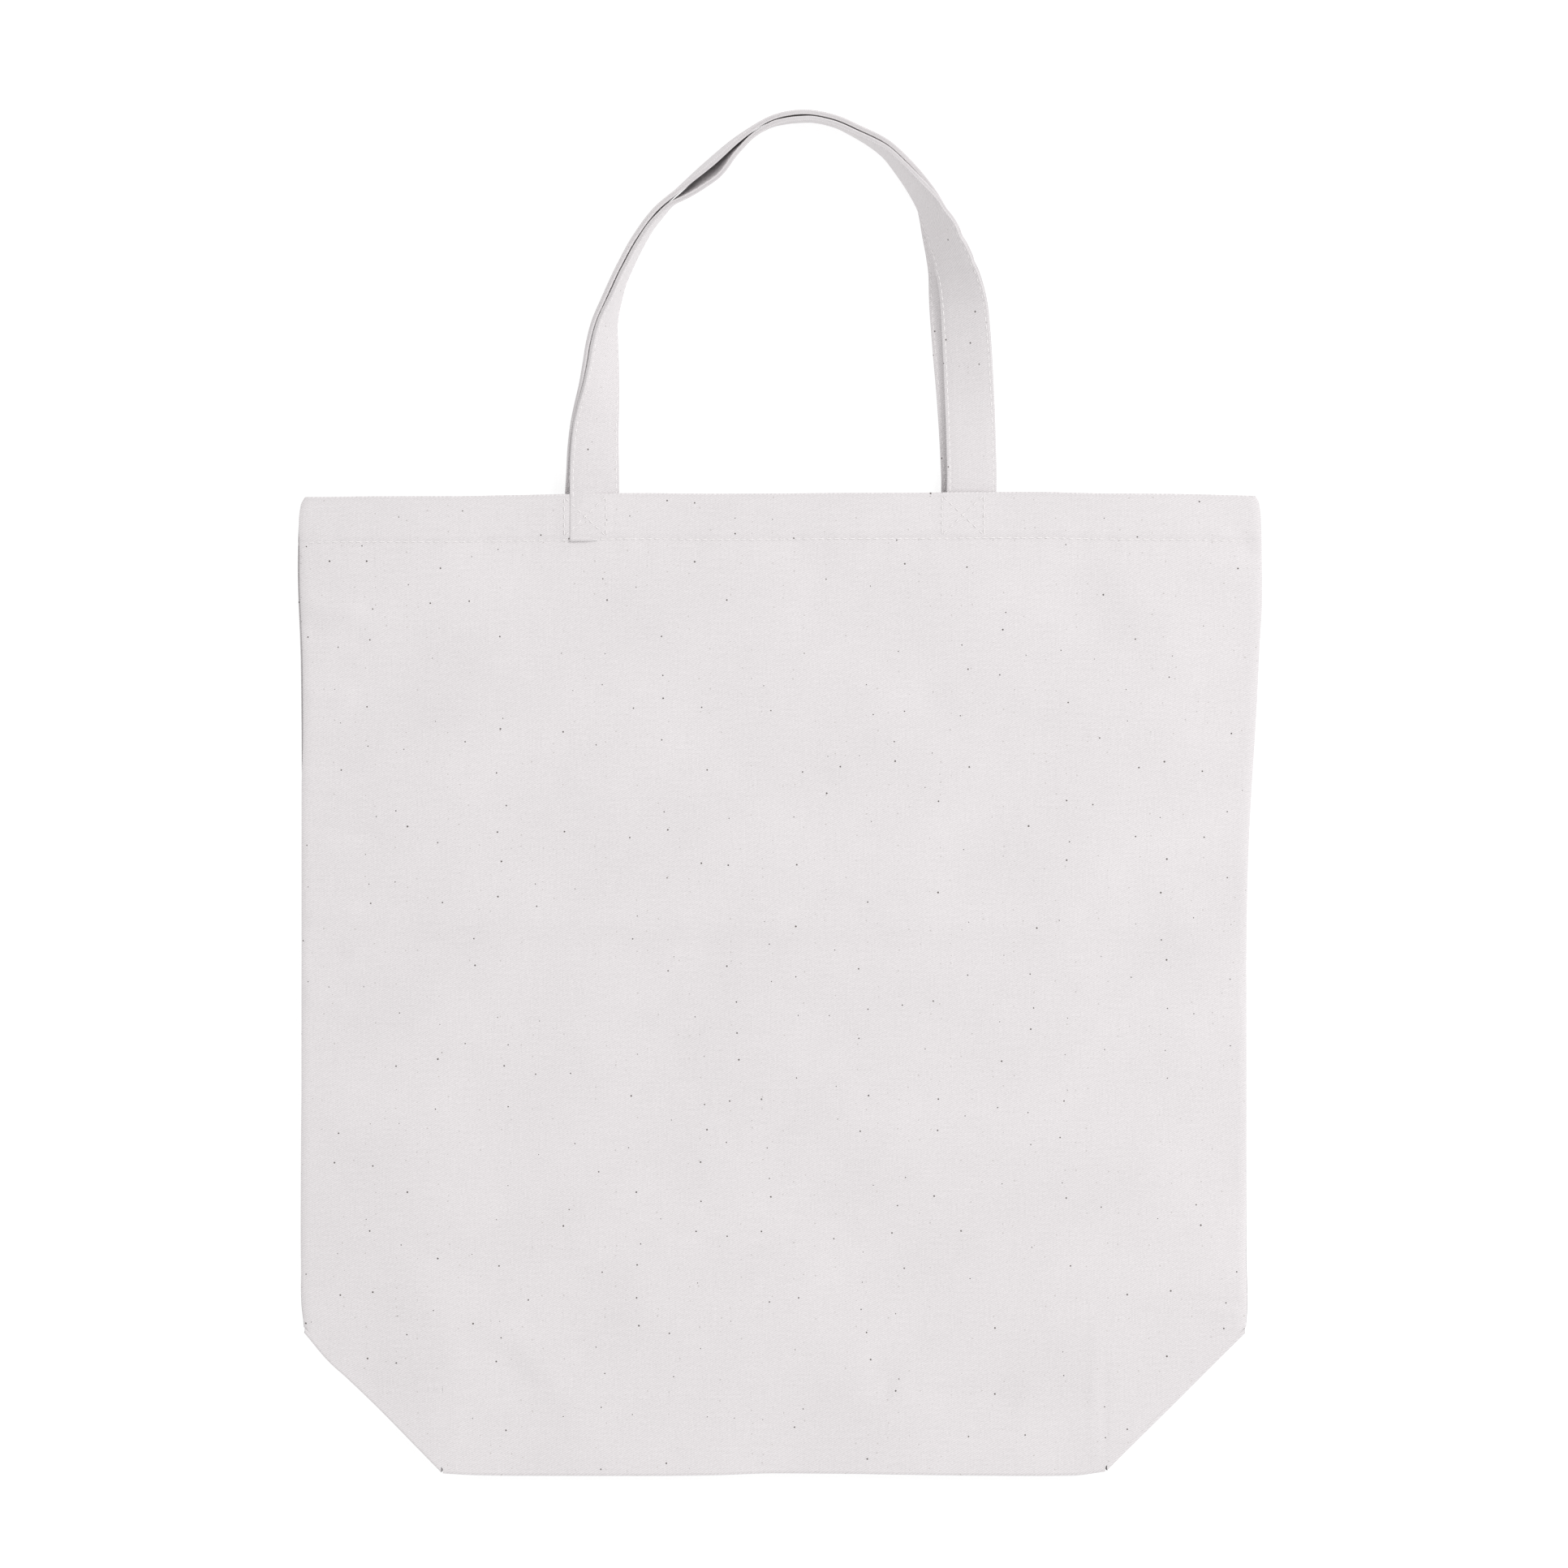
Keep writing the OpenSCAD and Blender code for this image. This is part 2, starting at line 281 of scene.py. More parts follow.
def side_depth(x, y):
    """Depth that the side walls' tilt adds at a place, with the fold at the corner rounded off."""
    out = np.abs(x) - CORNER_X
    # the fold is rounded over 6 mm to each side at the bottom, and over 32 mm higher up
    width = (6 + 26 * smooth_step((y - BOTTOM_Y - 0.08) / 0.04)) * MM
    rounded = np.where(out > width, out, np.where(out < -width, 0, (out + width) ** 2 / (4 * width)))
    return rounded * math.tan(TILT)


def place(points, front):
    """Puts points given as x, y and depth into the front or back layer."""
    p = settle(points, front)
    if front:
        p[..., 2] = THICK - p[..., 2]
    return p


def grid_normals(p):
    """Unit normals of a grid of points, rows first."""
    across = np.gradient(p, axis=1)
    down = np.gradient(p, axis=0)
    n = np.cross(across, down)
    return n / np.maximum(np.linalg.norm(n, axis=2, keepdims=True), 1e-12)


def shell(name, outer, inner, uv, normals, flip):
    """A closed piece of cloth from two grids of points; normals are the outer face's."""
    rows, cols = outer.shape[:2]
    count = rows * cols
    index = np.arange(count).reshape(rows, cols)
    a, b = index[:-1, :-1].ravel(), index[:-1, 1:].ravel()
    c, d = index[1:, 1:].ravel(), index[1:, :-1].ravel()
    top = np.stack([a, b, c, d], 1)
    faces = [top, top[:, ::-1] + count]
    loop = np.concatenate([index[0, :], index[1:, -1], index[-1, -2::-1], index[-2:0:-1, 0]])
    after = np.roll(loop, -1)
    faces.append(np.stack([after, loop, loop + count, after + count], 1))
    faces = np.concatenate(faces)
    if flip:
        faces = faces[:, ::-1]
    mesh = bpy.data.meshes.new(name)
    points = np.concatenate([outer.reshape(-1, 3), inner.reshape(-1, 3)])
    mesh.from_pydata(points.tolist(), [], faces.tolist())
    layer = mesh.uv_layers.new(name="flat")
    both = np.concatenate([uv.reshape(-1, 2), uv.reshape(-1, 2)])
    layer.data.foreach_set("uv", both[faces.ravel()].ravel())
    mesh.polygons.foreach_set("use_smooth", [True] * len(mesh.polygons))
    n = normals.reshape(-1, 3)
    mesh.normals_split_custom_set_from_vertices(np.concatenate([n, -n]).tolist())
    mesh.update()
    return add_object(name, mesh)


def sheet_between(name, middle, out, uv, front, cloth, half=CLOTH / 2):
    """A canvas sheet of the given half thickness round a middle surface. out is its outward normal
    in back-layer terms."""
    outer = place(middle + out * half, front)
    inner = place(middle - out * half, front)
    n = grid_normals(outer)
    facing = np.sign(np.mean(np.sum(n * (outer - inner), axis=2)))
    obj = shell(name, outer, inner, uv, n * facing, facing < 0)
    obj.data.materials.append(cloth)
    return obj


# ---- Materials ----


def material(name, roughness, sheen):
    m = bpy.data.materials.new(name)
    m.use_nodes = True
    shader = m.node_tree.nodes["Principled BSDF"]
    shader.inputs["Roughness"].default_value = roughness
    shader.inputs["Sheen Weight"].default_value = sheen
    shader.inputs["Sheen Roughness"].default_value = 0.5
    shader.inputs["Specular IOR Level"].default_value = 0.2
    return m, shader


class Nodes:
    """Short calls that add nodes to one material."""

    def __init__(self, m):
        self.tree = m.node_tree

    def put(self, socket, value):
        if isinstance(value, bpy.types.NodeSocket):
            self.tree.links.new(value, socket)
        else:
            socket.default_value = value

    def math(self, operation, a, b=0.0, c=0.0):
        node = self.tree.nodes.new("ShaderNodeMath")
        node.operation = operation
        for socket, value in zip(node.inputs, (a, b, c)):
            self.put(socket, value)
        return node.outputs[0]

    def mix(self, share, a, b):
        node = self.tree.nodes.new("ShaderNodeMix")
        node.data_type = "RGBA"
        self.put(node.inputs["Factor"], share)
        self.put(node.inputs["A"], a)
        self.put(node.inputs["B"], b)
        return node.outputs["Result"]

    def vector(self, x, y, z=0.0):
        node = self.tree.nodes.new("ShaderNodeCombineXYZ")
        for socket, value in zip(node.inputs, (x, y, z)):
            self.put(socket, value)
        return node.outputs[0]

    def noise(self, vector, scale, detail=2.0):
        node = self.tree.nodes.new("ShaderNodeTexNoise")
        self.put(node.inputs["Vector"], vector)
        self.put(node.inputs["Scale"], scale)
        self.put(node.inputs["Detail"], detail)
        return node.outputs["Fac"]

    def streaks(self, u, v, across, up):
        """Noise with its own scale along each of the cloth's two directions."""
        stretched = self.vector(self.math("MULTIPLY", u, across), self.math("MULTIPLY", v, up))
        return self.noise(stretched, 1.0)

    def voronoi(self, vector, scale):
        node = self.tree.nodes.new("ShaderNodeTexVoronoi")
        node.voronoi_dimensions = "2D"
        self.put(node.inputs["Vector"], vector)
        self.put(node.inputs["Scale"], scale)
        split = self.tree.nodes.new("ShaderNodeSeparateColor")
        self.tree.links.new(node.outputs["Color"], split.inputs[0])
        return node.outputs["Distance"], split.outputs[0], split.outputs[1]

    def flat_uv(self):
        node = self.tree.nodes.new("ShaderNodeUVMap")
        node.uv_map = "flat"
        split = self.tree.nodes.new("ShaderNodeSeparateXYZ")
        self.tree.links.new(node.outputs[0], split.inputs[0])
        return split.outputs[0], split.outputs[1]

    def bump(self, shader, height, strength, distance):
        node = self.tree.nodes.new("ShaderNodeBump")
        self.put(node.inputs["Height"], height)
        node.inputs["Strength"].default_value = strength
        node.inputs["Distance"].default_value = distance
        self.tree.links.new(node.outputs[0], shader.inputs["Normal"])


def lighten(colour, gain):
    return tuple(min(1.0, c * gain) for c in colour) + (1.0,)


# Flecks in the cloth, as (cells per metre, how much the size varies, smallest size, share of the
# cells without one, strength, colour): faint ones everywhere, and a few dark specks
FLECKS = [
    (190.0, 0.05, 0.03, 0.80, 0.40, (0.34, 0.31, 0.29, 1.0)),
    (60.0, 0.016, 0.013, 0.55, 0.92, (0.10, 0.085, 0.08, 1.0)),
]


def canvas_material(name, colour, shift):
    """Natural cotton twill: slanting ribs, uneven yarns, and flecks of seed husk in the cloth."""
    m, shader = material(name, 0.93, 0.22)
    n = Nodes(m)
    u, v = n.flat_uv()
    u = n.math("ADD", u, shift)
    place_uv = n.vector(u, v)
    slope, rib = math.radians(27), 0.95 * MM
    wobble = n.math("MULTIPLY", n.math("SUBTRACT", n.noise(place_uv, 260.0, 1.0), 0.5), 0.5 * MM)
    v_part, u_part = n.math("MULTIPLY", v, math.cos(slope)), n.math("MULTIPLY", u, math.sin(slope))
    rise = n.math("SUBTRACT", v_part, u_part)
    turns = n.math("MULTIPLY", n.math("ADD", rise, wobble), 2 * math.pi / rib)
    ribs = n.math("MULTIPLY_ADD", n.math("SINE", turns), 0.5, 0.5)
    warp_turns = n.math("MULTIPLY", u, 2 * math.pi / (0.58 * MM))
    warp = n.math("MULTIPLY_ADD", n.math("SINE", warp_turns), 0.5, 0.5)
    streak_up = n.streaks(u, v, 1500.0, 55.0)
    streak_across = n.streaks(u, v, 55.0, 1300.0)
    cloud = n.noise(place_uv, 16.0, 3.0)
    fuzz = n.noise(place_uv, 900.0, 2.0)

    tone = n.math("MULTIPLY", n.math("SUBTRACT", ribs, 0.5), 0.34)
    for pattern, share in ((streak_up, 0.22), (streak_across, 0.26), (cloud, 0.30), (fuzz, 0.6)):
        tone = n.math("MULTIPLY_ADD", n.math("SUBTRACT", pattern, 0.5), share, tone)
    tone = n.math("ADD", tone, 0.5)
    cloth = n.mix(tone, lighten(colour, 0.82), lighten(colour, 1.17))
    for scale, growth, smallest, without, strength, fleck in FLECKS:
        near, pick, size = n.voronoi(place_uv, scale)
        inside = n.math("LESS_THAN", near, n.math("MULTIPLY_ADD", size, growth, smallest))
        spot = n.math("MULTIPLY", inside, n.math("GREATER_THAN", pick, without))
        cloth = n.mix(n.math("MULTIPLY", spot, strength), cloth, fleck)
    n.tree.links.new(cloth, shader.inputs["Base Color"])

    height = n.math("MULTIPLY_ADD", warp, 0.25, ribs)
    height = n.math("MULTIPLY_ADD", fuzz, 0.5, height)
    height = n.math("MULTIPLY_ADD", streak_across, 0.5, height)
    n.bump(shader, height, 0.5, 0.14 * MM)
    return m


def thread_material(name, colour):
    """Bleached sewing thread with a fine twist."""
    m, shader = material(name, 0.75, 0.3)
    n = Nodes(m)
    node = n.tree.nodes.new("ShaderNodeTexCoord")
    twist = n.noise(node.outputs["Object"], 2600.0, 1.0)
    tone = n.mix(twist, lighten(colour, 0.86), lighten(colour, 1.1))
    n.tree.links.new(tone, shader.inputs["Base Color"])
    n.bump(shader, twist, 0.4, 0.05 * MM)
    return m


CLOTH_COLOUR = (0.70, 0.672, 0.680)
CANVAS = canvas_material("canvas", CLOTH_COLOUR, 0.0)
CANVAS_BACK = canvas_material("canvas_back", CLOTH_COLOUR, 1.7)
STRAP_CLOTH = canvas_material("strap_canvas", (0.68, 0.652, 0.66), 0.9)
THREAD = thread_material("thread", (0.84, 0.815, 0.815))

# ---- Body cloth ----

FINE = 1.0 * MM
COARSE = 3.0 * MM
ARC_STEPS = 7
TURN = CLOTH / 2
# Height of a panel's lowest row above the fold at the bottom edge
LOWEST_ROW = 1.2 * MM
# The panel ends, and the side wall's cloth starts, this far inside the corner line
CORNER_LAP = 0.4 * MM
PANEL_CUT = CORNER_X - CORNER_LAP
# Height above the diagonal fold at which the side wall's cloth ends and the corner's cloth starts
DIAGONAL_CUT = 2.0 * math.sqrt(2) * MM
LAYER_NAMES = {True: "front", False: "back"}
LAYER_CANVAS = {True: CANVAS, False: CANVAS_BACK}


def steps(start, end, size):
    return np.linspace(start, end, max(2, int(round(abs(end - start) / size)) + 1))


def hem_profile():
    """Rows of the cloth from the turned-in edge over the mouth: distance below the mouth, depth of
    the middle, outward normal (along y and depth) and length along the cloth."""
    rows = []
    for below in steps(HEM, TURN + CLOTH / 2, FINE * 2)[:-1]:
        rows.append((below, TURN * 3, 0.0, 1.0, -below))
    for angle in np.linspace(math.pi / 2, -math.pi / 2, ARC_STEPS):
        ny, nd = math.cos(angle), math.sin(angle)
        rows.append((TURN * 2 - TURN * ny, TURN * (2 + nd), ny, nd, 0.0))
    return rows


def panel_heights():
    """Heights of the panel's rows from the hem down to the bottom fold, closest at the hem."""
    hem_rows = steps(HEIGHT - 2 * TURN - FINE, HEIGHT - HEM - 12 * MM, FINE)
    low_rows = steps(HEIGHT - HEM - 12 * MM, 6 * MM, COARSE)
    end_rows = steps(6 * MM, LOWEST_ROW, 1.2 * MM)
    return np.concatenate([hem_rows, low_rows[1:], end_rows[1:]])


def body_rows(x, front, low):
    """Middle points, outward normals and flat places of the cloth's rows at the columns x, from
    the turned-in hem to the lowest height low, which is given for each column."""
    mids, outs, flats = [], [], []
    tilt_sign = np.sign(x) * (np.abs(x) > CORNER_X)
    for below, depth, ny, nd, along in hem_profile():
        y = np.full_like(x, MOUTH_Y - below)
        mids.append(np.stack([x, y, depth + side_depth(x, y) - relief(x, y, front)], 1))
        outs.append(np.stack([0 * x, 0 * x + ny, 0 * x + nd], 1))
        flats.append(np.stack([x, 0 * x + MOUTH_Y - along], 1))
    # below the knee, the rows close up so that the lowest one ends at low
    knee = 150 * MM
    for height in panel_heights():
        squeezed = low + (height - LOWEST_ROW) * (knee - low) / (knee - LOWEST_ROW)
        up = np.where(height > knee, height, squeezed)
        y = BOTTOM_Y + up
        mids.append(np.stack([x, y, TURN + side_depth(x, y) - relief(x, y, front)], 1))
        outs.append(np.stack([tilt_sign * math.sin(TILT), 0 * x, 0 * x - 1], 1))
        flats.append(np.stack([x, y], 1))
    return mids, outs, flats


def bottom_rows(x, front):
    """The same for the fold at the bottom edge and the half of the bottom that is folded in."""
    mids, outs, flats = [], [], []
    start_depth = FLAP_INSET - FLAP_OFFSET * math.cos(TILT)
    radius = (start_depth - TURN) / 2
    centre_y = BOTTOM_Y + radius + CLOTH / 2
    for angle in np.linspace(0, math.pi - TILT, ARC_STEPS):
        y = centre_y - radius * math.sin(angle)
        depth = TURN + radius * (1 - math.cos(angle))
        mids.append(np.stack([x, 0 * x + y, 0 * x + depth], 1))
        outs.append(np.stack([0 * x, 0 * x - math.sin(angle), 0 * x - math.cos(angle)], 1))
        flats.append(np.stack([x, 0 * x + BOTTOM_Y - radius * angle], 1))
    for along in steps(1.8 * MM, FLAP_LEN - 0.15 * MM, COARSE):
        y = BOTTOM_Y + along * math.cos(TILT) + FLAP_OFFSET * math.sin(TILT)
        depth = FLAP_INSET + along * math.sin(TILT) - FLAP_OFFSET * math.cos(TILT)
        mids.append(np.stack([x, 0 * x + y, 0 * x + depth], 1))
        outs.append(np.stack([0 * x, 0 * x - math.sin(TILT), 0 * x + math.cos(TILT)], 1))
        flats.append(np.stack([x, 0 * x + BOTTOM_Y - along], 1))
    return mids, outs, flats


def panel_cloth(front):
    """The middle of a panel, its hem, the fold at the bottom and the half bottom, in one piece."""
    name = LAYER_NAMES[front]
    x = steps(-PANEL_CUT, PANEL_CUT, 2.5 * MM)
    parts = body_rows(x, front, np.full_like(x, LOWEST_ROW))
    more = bottom_rows(x, front)
    mid, out, uv = (np.array(a + b) for a, b in zip(parts, more))
    obj = sheet_between(f"{name}_cloth", mid, out, uv, front, LAYER_CANVAS[front])
    flap = "bottom_front" if front else "bottom_rear"
    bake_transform(obj)
    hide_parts(f"{name}_panel", f"{name}_hem", flap)


def side_cloth(front, left):
    """Half a side wall above its diagonal fold, with its hem and the turned edge at the seam."""
    layer, side = LAYER_NAMES[front], "left" if left else "right"
    body = f"side_{layer}_{side}"
    sign = -1 if left else 1
    edge = HALF_SIDE * math.cos(TILT)
    out = np.concatenate([steps(-CORNER_LAP, 8 * MM, 1 * MM),
                          steps(8 * MM, edge - 6 * MM, 2.5 * MM)[1:],
                          steps(edge - 6 * MM, edge, 0.6 * MM)[1:]])
    x = sign * (CORNER_X + out)
    low = np.maximum(out + DIAGONAL_CUT, LOWEST_ROW)
    mids, outs, flats = body_rows(x, front, low)
    mid, normal, uv = np.array(mids), np.array(outs), np.array(flats)
    # the edge turns in to the seam: the front layer laps inside the back layer
    lip_width = 4.5 * MM
    lip = np.clip((out - (edge - lip_width)) / lip_width, 0, 1)
    drop = (0.42 if front else 0.16) * SEAM_GAP
    mid[..., 2] += drop * (1 - np.sqrt(1 - (0.97 * lip) ** 2))
    obj = sheet_between(f"{body}_cloth", mid, normal, uv, front, LAYER_CANVAS[front])
    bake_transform(obj)
    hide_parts(body, f"side_hem_{layer}_{side}")


def corner_cloth(front, left):
    """The diagonal fold at a bottom corner and the triangle of the side wall that is folded in."""
    layer, side = LAYER_NAMES[front], "left" if left else "right"
    wall, body = f"side_{layer}_{side}", f"corner_{layer}_{side}"
    sign = -1 if left else 1
    root2 = math.sqrt(2)
    length = HALF_SIDE * root2
    margin = 0.7 * MM
    along = steps(margin, length - margin, 2.5 * MM)
    reach = np.minimum(along, length - along)
    turn_start = -(CORNER_RADIUS + CLOTH / 2)
    fold = CORNER_FOLD - math.radians(0.1)
    rows = [(-DIAGONAL_CUT / root2, 0.0, 0.0, -1.0, -DIAGONAL_CUT / root2),
            (turn_start - 0.3 * MM, 0.0, 0.0, -1.0, turn_start - 0.3 * MM)]
    for angle in np.linspace(0, fold, ARC_STEPS):
        rows.append((turn_start + CORNER_RADIUS * math.sin(angle),
                     CORNER_RADIUS * (1 - math.cos(angle)), math.sin(angle), -math.cos(angle),
                     turn_start + CORNER_RADIUS * angle))
    across0, rise0, flat0 = rows[-1][0], rows[-1][1], rows[-1][4]
    mids, outs, flats = [], [], []

    def add(across, rise, n_across, n_rise, flat):
        """One row; across is the distance past the diagonal, rise the distance into the bag."""
        # above the diagonal the ends run straight up, as the side wall's cut does
        here = along + np.maximum(-flat, 0)
        u, v = (here + across) / root2, (here - across) / root2
        x = sign * (CORNER_X + u * math.cos(TILT))
        y = BOTTOM_Y + v
        depth = TURN + side_depth(x, y) + rise
        mids.append(np.stack([x, y, depth], 1))
        nx, ny = sign * n_across / root2, -n_across / root2
        outs.append(np.stack([nx + 0 * x, ny + 0 * x, n_rise + 0 * x], 1))
        flats.append(np.stack([sign * (CORNER_X + (here + flat) / root2),
                               BOTTOM_Y + (here - flat) / root2], 1))

    for row in rows:
        add(*row)
    for share in np.linspace(0, 1, 16)[1:]:
        run = share * np.maximum(reach - 0.6 * MM, 0.3 * MM)
        add(across0 + run * math.cos(fold), rise0 + run * math.sin(fold),
            math.sin(fold), -math.cos(fold), flat0 + run)
    mid, normal, uv = np.array(mids), np.array(outs), np.array(flats)
    obj = sheet_between(f"{body}_cloth", mid, normal, uv, front, LAYER_CANVAS[front])
    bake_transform(obj)
    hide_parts(body)


# ---- Stitches ----

PITCH = 3.9 * MM
STITCH_LEN, STITCH_WIDTH, STITCH_HEIGHT = 3.0 * MM, 0.55 * MM, 0.3 * MM


def tube_faces(first, rings, around):
    """Faces of a closed tube of rings of points; first is the index of its first point."""
    faces = []
    for r in range(rings - 1):
        for k in range(around):
            a, b = first + r * around + k, first + r * around + (k + 1) % around
            faces.append((a, b, b + around, a + around))
    faces.append(tuple(first + k for k in range(around))[::-1])
    faces.append(tuple(first + (rings - 1) * around + k for k in range(around)))
    return faces


def thread_piece(name, marks, length=STITCH_LEN):
    """One piece of many separate stitches. Each mark is a middle point, a direction along the row
    and an outward normal; the stitch's ends dive into the cloth."""
    around = 6
    # rings along a stitch, as (place along it, thickness, lift), all as shares
    shape = [(-0.5, 0.3, -0.5), (-0.38, 0.8, 0.1), (-0.15, 1.0, 0.5), (0.15, 1.0, 0.5),
             (0.38, 0.8, 0.1), (0.5, 0.3, -0.5)]
    points, faces = [], []
    for centre, along, up in marks:
        centre, along, up = np.array(centre, float), np.array(along, float), np.array(up, float)
        side = np.cross(along, up)
        first = len(points)
        for t, scale, lift in shape:
            middle = centre + along * t * length + up * lift * STITCH_HEIGHT
            for k in range(around):
                a = 2 * math.pi * k / around
                points.append(middle + side * math.cos(a) * STITCH_WIDTH / 2 * scale
                              + up * math.sin(a) * STITCH_HEIGHT * 0.7 * scale)
        faces += tube_faces(first, len(shape), around)
    mesh = bpy.data.meshes.new(name)
    mesh.from_pydata([tuple(p) for p in points], [], faces)
    mesh.polygons.foreach_set("use_smooth", [True] * len(mesh.polygons))
    mesh.materials.append(THREAD)
    mesh.update()
    obj = add_object(name, mesh)
    return obj


def face_marks(line, front):
    """Stitch marks along a straight line of (x, y) points on the outer face of a layer."""
    (x0, y0), (x1, y1) = line
    length = math.hypot(x1 - x0, y1 - y0)
    count = max(1, int(round(length / PITCH)))
    t = (np.arange(count) + 0.5) / count
    x, y = x0 + (x1 - x0) * t, y0 + (y1 - y0) * t
    h = 0.5 * MM

    def outer(px, py):
        depth = side_depth(px, py) - relief(px, py, front)
        return place(np.stack([px, py, depth], 1), front)

    middle = outer(x, y)
    dx, dy = (x1 - x0) / length, (y1 - y0) / length
    along = unit(outer(x + dx * h, y + dy * h) - outer(x - dx * h, y - dy * h))
    up = np.array([0, 0, 1.0 if front else -1.0])
    lift = 0.12 * MM if front else -0.1 * MM
    return [(m + up * lift, a, up) for m, a in zip(middle, along)]


def hem_threads(front):
    """The hem's row of stitches on a panel and on its two half side walls."""
    layer = LAYER_NAMES[front]
    y = MOUTH_Y - HEM_ROW
    row = thread_piece(f"{layer}_hem_stitches", face_marks(((-PANEL_CUT, y), (PANEL_CUT, y)), front))
    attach(row, layer)
    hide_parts(f"{layer}_hem_stitching")
    for side, sign in (("left", -1), ("right", 1)):
        ends = ((sign * (CORNER_X + 1 * MM), y), (sign * (CORNER_X + HALF_SIDE - 4 * MM), y))
        row = thread_piece(f"side_hem_stitches_{layer}_{side}", face_marks(ends, front))
        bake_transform(row)
        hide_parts(f"side_hem_stitching_{layer}_{side}")


def handle_end_threads(front):
    """Two rows along each sewn-in handle end and a cross between them."""
    layer = LAYER_NAMES[front]
    low, high = MOUTH_Y - HEM_ROW + 1.5 * MM, MOUTH_Y - 1.6 * MM
    inset = STRAP_W / 2 - 2 * MM
    marks = []
    for centre in (-STRAP_X, STRAP_X):
        for a, b in ((-1, -1), (1, 1), (-1, 1), (1, -1)):
            marks += face_marks(((centre + a * inset, low), (centre + b * inset, high)), front)
    row = thread_piece(f"{layer}_handle_end_stitches", marks, length=2.7 * MM)
    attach(row, layer)
    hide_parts(f"{layer}_handle_end_stitching")


# ---- Handles ----

# Path that both handles share, as (x, height above the mouth, twist in degrees, half the distance
# between the two handles, how far the back handle has slipped along its width). Lengths are in
# millimetres, and x is measured from a line that is HANDLE_SHIFT right of the bag's middle.
# Twist 0 lies flat and 90 stands on edge; past 90, the upper edge leans into the arch.
ARCH = [
    (-92.4, 0, 6, 3.2, -1.9), (-92.6, 12, 10, 2.8, -0.9), (-92.6, 25, 19, 2.1, -0.3),
    (-91.8, 38, 30, 1.6, 0), (-89.9, 54, 47, 1.45, 0), (-88.8, 66, 56, 1.45, -0.2),
    (-88.2, 76, 62, 1.45, 0), (-86.9, 86, 70, 1.45, 0), (-84.1, 96, 78, 1.45, 0),
    (-80.9, 105.5, 83, 1.45, 0), (-77.0, 114.5, 85, 1.45, 0), (-70.0, 128, 87, 1.45, 0),
    (-59.8, 142.5, 90, 1.5, 0), (-46.0, 155, 95, 1.5, 0), (-32.4, 166.6, 98, 1.5, 0),
    (-18.2, 178.8, 96, 1.5, 0), (-3.5, 187.9, 93, 1.5, 0), (12.5, 191.0, 92, 1.5, 0),
    (28.0, 188.6, 92, 1.5, 0), (41.5, 182.4, 90, 1.5, 0), (53.8, 175.0, 85, 1.5, 0),
    (64.0, 164.2, 79, 1.5, 0.6), (72.3, 153.5, 72, 1.5, 2.5), (78.7, 143.5, 62, 1.5, 5.0),
    (83.6, 133.6, 53, 1.5, 6.5), (87.6, 123.5, 46, 1.5, 7.0), (91.0, 113.5, 38, 1.5, 7.2),
    (93.4, 103, 28, 1.5, 7.4), (94.6, 93.5, 20, 1.5, 6.9), (95.8, 74, 13, 1.5, 5.8),
    (96.7, 54, 8, 1.6, 4.6), (97.4, 34, 3, 2.0, 3.7), (97.8, 12, 0, 2.7, 2.9),
    (97.6, 0, 0, 3.2, 2.6),
]
# Ripples across the front strap, as (start, end, width, height) in millimetres. Starts and ends
# are (x, height above the mouth).
STRAP_WRINKLES = [
    ((60, 119), (110, 113), 1.8, 0.9), ((60, 130), (110, 126), 2.2, 0.8),
    ((60, 142), (110, 138), 2.6, 0.7),
]
# Where the front handle's upper edge stands away from the back handle's, along x, and how far
OPENING_X, OPENING_REACH, OPENING = -35 * MM, 23 * MM, 3.8 * MM
# How far a strap that stands on edge stays above the plane of the bag's back
FLOOR_GAP = 0.4 * MM
HANDLE_SHIFT = 1.7 * MM


def curve_through(points, per_span):
    """Points of a smooth curve through the given ones."""
    p = np.array(points, float)
    p = np.concatenate([2 * p[:1] - p[1:2], p, 2 * p[-1:] - p[-2:-1]])
    out = []
    for i in range(1, len(p) - 2):
        a, b, c, d = p[i - 1 : i + 3]
        for k in range(per_span):
            f = k / per_span
            out.append(0.5 * (2 * b + (c - a) * f + (2 * a - 5 * b + 4 * c - d) * f**2
                              + (3 * b - a - 3 * c + d) * f**3))
    out.append(p[-2])
    return np.array(out)


def resample(at, run, values):
    """Rows of vectors, given at the distances run, at the distance or distances at."""
    return np.stack([np.interp(at, run, values[:, k]) for k in range(3)], -1)


